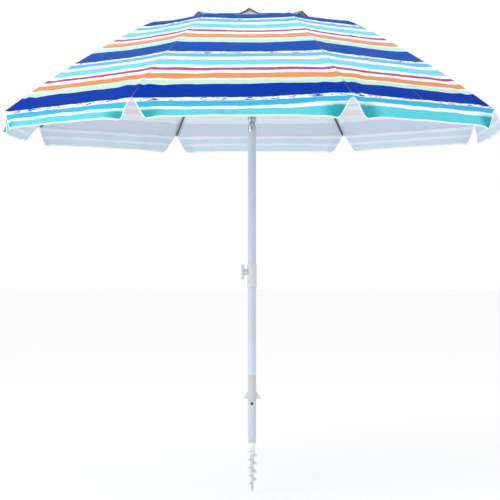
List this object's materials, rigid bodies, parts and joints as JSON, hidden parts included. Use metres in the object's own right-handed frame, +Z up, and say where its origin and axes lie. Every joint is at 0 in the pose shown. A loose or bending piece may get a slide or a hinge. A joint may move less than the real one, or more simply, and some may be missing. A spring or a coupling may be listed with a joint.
{
  "type": "beach umbrella",
  "caption": "Beach umbrella with a vented striped canopy on folding ribs, a tilting telescopic pole and a screw-in sand anchor.",
  "frame": {"origin": "on the pole's axis at the sand line, where the screw-in auger meets its tube", "axes": "+Z up along the pole, -Y towards the front gore, -X towards the wing knob"},
  "size_m": [1.875, 1.875, 1.8765],
  "materials": {
    "white_tube": "satin powder coat",
    "grey_plastic": "moulded",
    "knuckle_grey": "satin",
    "dark_plastic": "moulded",
    "steel": "brushed",
    "rib_black": "pultruded fibreglass",
    "stretcher_white": "painted steel",
    "canopy_fabric": "striped woven polyester, silver coated inside",
    "auger_white": "moulded"
  },
  "bodies": {
    "base": {"sand_auger": "auger_white", "auger_tube": "white_tube", "twist_sleeve": "grey_plastic", "handle_pin_left": "steel", "handle_pin_right": "steel", "button_spring": "steel", "lower_tube": "white_tube", "clamp_collar": "grey_plastic"},
    "fold_handle_left": {"fold_handle_left": "grey_plastic"},
    "fold_handle_right": {"fold_handle_right": "grey_plastic"},
    "snap_button": {"snap_button": "dark_plastic"},
    "wing_knob": {"wing_knob": "grey_plastic", "clamp_screw": "steel"},
    "mast": {"mast_tube": "white_tube", "slide_tube": "steel", "slide_bush": "dark_plastic", "tilt_socket": "knuckle_grey", "tilt_pin": "steel"},
    "canopy_post": {"tilt_tongue": "knuckle_grey", "upper_tube": "white_tube", "hub": "grey_plastic", "hub_ring_wire": "steel", "finial": "grey_plastic", "vent_cap": "canopy_fabric"},
    "tilt_button": {"tilt_button": "dark_plastic"},
    "top_catch": {"top_catch": "steel"},
    "runner": {"runner": "grey_plastic", "runner_ring_wire": "steel"},
    "rib_1": {"rib_1": "rib_black"},
    "stretcher_1": {"stretcher_1": "stretcher_white"},
    "gore_1_left": {"half_gore_1_left": "canopy_fabric"},
    "gore_1_right": {"half_gore_1_right": "canopy_fabric"},
    "rib_2": {"rib_2": "rib_black"},
    "stretcher_2": {"stretcher_2": "stretcher_white"},
    "gore_2_left": {"half_gore_2_left": "canopy_fabric"},
    "gore_2_right": {"half_gore_2_right": "canopy_fabric"},
    "rib_3": {"rib_3": "rib_black"},
    "stretcher_3": {"stretcher_3": "stretcher_white"},
    "gore_3_left": {"half_gore_3_left": "canopy_fabric"},
    "gore_3_right": {"half_gore_3_right": "canopy_fabric"},
    "rib_4": {"rib_4": "rib_black"},
    "stretcher_4": {"stretcher_4": "stretcher_white"},
    "gore_4_left": {"half_gore_4_left": "canopy_fabric"},
    "gore_4_right": {"half_gore_4_right": "canopy_fabric"},
    "rib_5": {"rib_5": "rib_black"},
    "stretcher_5": {"stretcher_5": "stretcher_white"},
    "gore_5_left": {"half_gore_5_left": "canopy_fabric"},
    "gore_5_right": {"half_gore_5_right": "canopy_fabric"},
    "rib_6": {"rib_6": "rib_black"},
    "stretcher_6": {"stretcher_6": "stretcher_white"},
    "gore_6_left": {"half_gore_6_left": "canopy_fabric"},
    "gore_6_right": {"half_gore_6_right": "canopy_fabric"},
    "rib_7": {"rib_7": "rib_black"},
    "stretcher_7": {"stretcher_7": "stretcher_white"},
    "gore_7_left": {"half_gore_7_left": "canopy_fabric"},
    "gore_7_right": {"half_gore_7_right": "canopy_fabric"},
    "rib_8": {"rib_8": "rib_black"},
    "stretcher_8": {"stretcher_8": "stretcher_white"},
    "gore_8_left": {"half_gore_8_left": "canopy_fabric"},
    "gore_8_right": {"half_gore_8_right": "canopy_fabric"}
  },
  "joints": [
    {"name": "height_slide", "type": "slide", "parent": "base", "child": "mast", "axis": [0, 0, 1], "range_m": [0, 0.3]},
    {"name": "wing_knob_turn", "type": "hinge", "parent": "base", "child": "wing_knob", "pos_m": [-0.0273, 0, 0.663], "axis": [-1, 0, 0], "range_deg": [0, 450]},
    {"name": "fold_handle_left_hinge", "type": "hinge", "parent": "base", "child": "fold_handle_left", "pos_m": [-0.0118, 0, 0.249], "axis": [0, 1, 0], "range_deg": [0, 90]},
    {"name": "fold_handle_right_hinge", "type": "hinge", "parent": "base", "child": "fold_handle_right", "pos_m": [0.0118, 0, 0.249], "axis": [0, -1, 0], "range_deg": [0, 90]},
    {"name": "snap_button_press", "type": "slide", "parent": "base", "child": "snap_button", "axis": [0, 1, 0], "range_m": [0, 0.0025], "stiffness_N_per_m": 800, "springref_m": -0.002, "deforming": ["button_spring"]},
    {"name": "tilt_hinge", "type": "hinge", "parent": "mast", "child": "canopy_post", "pos_m": [0, 0, 1.234], "axis": [0, 1, 0], "range_deg": [-35, 0]},
    {"name": "tilt_button_press", "type": "slide", "parent": "canopy_post", "child": "tilt_button", "axis": [0, -1, 0], "range_m": [0, 0.0025], "stiffness_N_per_m": 800, "springref_m": -0.002},
    {"name": "top_catch_press", "type": "slide", "parent": "canopy_post", "child": "top_catch", "axis": [0, -1, 0], "range_m": [0, 0.0045], "stiffness_N_per_m": 600, "springref_m": -0.002},
    {"name": "runner_slide", "type": "slide", "parent": "canopy_post", "child": "runner", "axis": [0, 0, -1], "range_m": [0, 0.5096], "deforming": ["half_gore_1_left", "half_gore_1_right", "half_gore_2_left", "half_gore_2_right", "half_gore_3_left", "half_gore_3_right", "half_gore_4_left", "half_gore_4_right", "half_gore_5_left", "half_gore_5_right", "half_gore_6_left", "half_gore_6_right", "half_gore_7_left", "half_gore_7_right", "half_gore_8_left", "half_gore_8_right", "vent_cap", "top_catch"]},
    {"name": "rib_1_hinge", "type": "hinge", "parent": "canopy_post", "child": "rib_1", "pos_m": [0.01148, -0.02772, 1.64721], "axis": [0.9239, 0.3827, 0], "range_deg": [0, 65]},
    {"name": "stretcher_1_hinge", "type": "hinge", "parent": "rib_1", "child": "stretcher_1", "pos_m": [0.15437, -0.37269, 1.59959], "axis": [0.9239, 0.3827, 0], "range_deg": [-112, 0]},
    {"name": "gore_1_left_fold", "type": "hinge", "parent": "rib_1", "child": "gore_1_left", "pos_m": [0.3712, -0.89616, 1.26], "axis": [0.3529, -0.8521, -0.3865], "range_deg": [0, 74]},
    {"name": "gore_1_right_fold", "type": "hinge", "parent": "rib_1", "child": "gore_1_right", "pos_m": [0.3712, -0.89616, 1.26], "axis": [0.3529, -0.8521, -0.3865], "range_deg": [-74, 0]},
    {"name": "rib_2_hinge", "type": "hinge", "parent": "canopy_post", "child": "rib_2", "pos_m": [0.02772, -0.01148, 1.64721], "axis": [0.3827, 0.9239, 0], "range_deg": [0, 65]},
    {"name": "stretcher_2_hinge", "type": "hinge", "parent": "rib_2", "child": "stretcher_2", "pos_m": [0.37269, -0.15437, 1.59959], "axis": [0.3827, 0.9239, 0], "range_deg": [-112, 0]},
    {"name": "gore_2_left_fold", "type": "hinge", "parent": "rib_2", "child": "gore_2_left", "pos_m": [0.89616, -0.3712, 1.26], "axis": [0.8521, -0.3529, -0.3865], "range_deg": [0, 74]},
    {"name": "gore_2_right_fold", "type": "hinge", "parent": "rib_2", "child": "gore_2_right", "pos_m": [0.89616, -0.3712, 1.26], "axis": [0.8521, -0.3529, -0.3865], "range_deg": [-74, 0]},
    {"name": "rib_3_hinge", "type": "hinge", "parent": "canopy_post", "child": "rib_3", "pos_m": [0.02772, 0.01148, 1.64721], "axis": [-0.3827, 0.9239, 0], "range_deg": [0, 65]},
    {"name": "stretcher_3_hinge", "type": "hinge", "parent": "rib_3", "child": "stretcher_3", "pos_m": [0.37269, 0.15437, 1.59959], "axis": [-0.3827, 0.9239, 0], "range_deg": [-112, 0]},
    {"name": "gore_3_left_fold", "type": "hinge", "parent": "rib_3", "child": "gore_3_left", "pos_m": [0.89616, 0.3712, 1.26], "axis": [0.8521, 0.3529, -0.3865], "range_deg": [0, 74]},
    {"name": "gore_3_right_fold", "type": "hinge", "parent": "rib_3", "child": "gore_3_right", "pos_m": [0.89616, 0.3712, 1.26], "axis": [0.8521, 0.3529, -0.3865], "range_deg": [-74, 0]},
    {"name": "rib_4_hinge", "type": "hinge", "parent": "canopy_post", "child": "rib_4", "pos_m": [0.01148, 0.02772, 1.64721], "axis": [-0.9239, 0.3827, 0], "range_deg": [0, 65]},
    {"name": "stretcher_4_hinge", "type": "hinge", "parent": "rib_4", "child": "stretcher_4", "pos_m": [0.15437, 0.37269, 1.59959], "axis": [-0.9239, 0.3827, 0], "range_deg": [-112, 0]},
    {"name": "gore_4_left_fold", "type": "hinge", "parent": "rib_4", "child": "gore_4_left", "pos_m": [0.3712, 0.89616, 1.26], "axis": [0.3529, 0.8521, -0.3865], "range_deg": [0, 74]},
    {"name": "gore_4_right_fold", "type": "hinge", "parent": "rib_4", "child": "gore_4_right", "pos_m": [0.3712, 0.89616, 1.26], "axis": [0.3529, 0.8521, -0.3865], "range_deg": [-74, 0]},
    {"name": "rib_5_hinge", "type": "hinge", "parent": "canopy_post", "child": "rib_5", "pos_m": [-0.01148, 0.02772, 1.64721], "axis": [-0.9239, -0.3827, 0], "range_deg": [0, 65]},
    {"name": "stretcher_5_hinge", "type": "hinge", "parent": "rib_5", "child": "stretcher_5", "pos_m": [-0.15437, 0.37269, 1.59959], "axis": [-0.9239, -0.3827, 0], "range_deg": [-112, 0]},
    {"name": "gore_5_left_fold", "type": "hinge", "parent": "rib_5", "child": "gore_5_left", "pos_m": [-0.3712, 0.89616, 1.26], "axis": [-0.3529, 0.8521, -0.3865], "range_deg": [0, 74]},
    {"name": "gore_5_right_fold", "type": "hinge", "parent": "rib_5", "child": "gore_5_right", "pos_m": [-0.3712, 0.89616, 1.26], "axis": [-0.3529, 0.8521, -0.3865], "range_deg": [-74, 0]},
    {"name": "rib_6_hinge", "type": "hinge", "parent": "canopy_post", "child": "rib_6", "pos_m": [-0.02772, 0.01148, 1.64721], "axis": [-0.3827, -0.9239, 0], "range_deg": [0, 65]},
    {"name": "stretcher_6_hinge", "type": "hinge", "parent": "rib_6", "child": "stretcher_6", "pos_m": [-0.37269, 0.15437, 1.59959], "axis": [-0.3827, -0.9239, 0], "range_deg": [-112, 0]},
    {"name": "gore_6_left_fold", "type": "hinge", "parent": "rib_6", "child": "gore_6_left", "pos_m": [-0.89616, 0.3712, 1.26], "axis": [-0.8521, 0.3529, -0.3865], "range_deg": [0, 74]},
    {"name": "gore_6_right_fold", "type": "hinge", "parent": "rib_6", "child": "gore_6_right", "pos_m": [-0.89616, 0.3712, 1.26], "axis": [-0.8521, 0.3529, -0.3865], "range_deg": [-74, 0]},
    {"name": "rib_7_hinge", "type": "hinge", "parent": "canopy_post", "child": "rib_7", "pos_m": [-0.02772, -0.01148, 1.64721], "axis": [0.3827, -0.9239, 0], "range_deg": [0, 65]},
    {"name": "stretcher_7_hinge", "type": "hinge", "parent": "rib_7", "child": "stretcher_7", "pos_m": [-0.37269, -0.15437, 1.59959], "axis": [0.3827, -0.9239, 0], "range_deg": [-112, 0]},
    {"name": "gore_7_left_fold", "type": "hinge", "parent": "rib_7", "child": "gore_7_left", "pos_m": [-0.89616, -0.3712, 1.26], "axis": [-0.8521, -0.3529, -0.3865], "range_deg": [0, 74]},
    {"name": "gore_7_right_fold", "type": "hinge", "parent": "rib_7", "child": "gore_7_right", "pos_m": [-0.89616, -0.3712, 1.26], "axis": [-0.8521, -0.3529, -0.3865], "range_deg": [-74, 0]},
    {"name": "rib_8_hinge", "type": "hinge", "parent": "canopy_post", "child": "rib_8", "pos_m": [-0.01148, -0.02772, 1.64721], "axis": [0.9239, -0.3827, 0], "range_deg": [0, 65]},
    {"name": "stretcher_8_hinge", "type": "hinge", "parent": "rib_8", "child": "stretcher_8", "pos_m": [-0.15437, -0.37269, 1.59959], "axis": [0.9239, -0.3827, 0], "range_deg": [-112, 0]},
    {"name": "gore_8_left_fold", "type": "hinge", "parent": "rib_8", "child": "gore_8_left", "pos_m": [-0.3712, -0.89616, 1.26], "axis": [-0.3529, -0.8521, -0.3865], "range_deg": [0, 74]},
    {"name": "gore_8_right_fold", "type": "hinge", "parent": "rib_8", "child": "gore_8_right", "pos_m": [-0.3712, -0.89616, 1.26], "axis": [-0.3529, -0.8521, -0.3865], "range_deg": [-74, 0]}
  ],
  "couplings": [
    {"joint": "rib_1_hinge", "follows": "runner_slide", "rad_per_m": 2.1919},
    {"joint": "stretcher_1_hinge", "follows": "runner_slide", "rad_per_m": -3.7057},
    {"joint": "gore_1_left_fold", "follows": "runner_slide", "rad_per_m": 2.437},
    {"joint": "gore_1_right_fold", "follows": "runner_slide", "rad_per_m": -2.437},
    {"joint": "rib_2_hinge", "follows": "runner_slide", "rad_per_m": 2.1919},
    {"joint": "stretcher_2_hinge", "follows": "runner_slide", "rad_per_m": -3.7057},
    {"joint": "gore_2_left_fold", "follows": "runner_slide", "rad_per_m": 2.437},
    {"joint": "gore_2_right_fold", "follows": "runner_slide", "rad_per_m": -2.437},
    {"joint": "rib_3_hinge", "follows": "runner_slide", "rad_per_m": 2.1919},
    {"joint": "stretcher_3_hinge", "follows": "runner_slide", "rad_per_m": -3.7057},
    {"joint": "gore_3_left_fold", "follows": "runner_slide", "rad_per_m": 2.437},
    {"joint": "gore_3_right_fold", "follows": "runner_slide", "rad_per_m": -2.437},
    {"joint": "rib_4_hinge", "follows": "runner_slide", "rad_per_m": 2.1919},
    {"joint": "stretcher_4_hinge", "follows": "runner_slide", "rad_per_m": -3.7057},
    {"joint": "gore_4_left_fold", "follows": "runner_slide", "rad_per_m": 2.437},
    {"joint": "gore_4_right_fold", "follows": "runner_slide", "rad_per_m": -2.437},
    {"joint": "rib_5_hinge", "follows": "runner_slide", "rad_per_m": 2.1919},
    {"joint": "stretcher_5_hinge", "follows": "runner_slide", "rad_per_m": -3.7057},
    {"joint": "gore_5_left_fold", "follows": "runner_slide", "rad_per_m": 2.437},
    {"joint": "gore_5_right_fold", "follows": "runner_slide", "rad_per_m": -2.437},
    {"joint": "rib_6_hinge", "follows": "runner_slide", "rad_per_m": 2.1919},
    {"joint": "stretcher_6_hinge", "follows": "runner_slide", "rad_per_m": -3.7057},
    {"joint": "gore_6_left_fold", "follows": "runner_slide", "rad_per_m": 2.437},
    {"joint": "gore_6_right_fold", "follows": "runner_slide", "rad_per_m": -2.437},
    {"joint": "rib_7_hinge", "follows": "runner_slide", "rad_per_m": 2.1919},
    {"joint": "stretcher_7_hinge", "follows": "runner_slide", "rad_per_m": -3.7057},
    {"joint": "gore_7_left_fold", "follows": "runner_slide", "rad_per_m": 2.437},
    {"joint": "gore_7_right_fold", "follows": "runner_slide", "rad_per_m": -2.437},
    {"joint": "rib_8_hinge", "follows": "runner_slide", "rad_per_m": 2.1919},
    {"joint": "stretcher_8_hinge", "follows": "runner_slide", "rad_per_m": -3.7057},
    {"joint": "gore_8_left_fold", "follows": "runner_slide", "rad_per_m": 2.437},
    {"joint": "gore_8_right_fold", "follows": "runner_slide", "rad_per_m": -2.437}
  ]
}
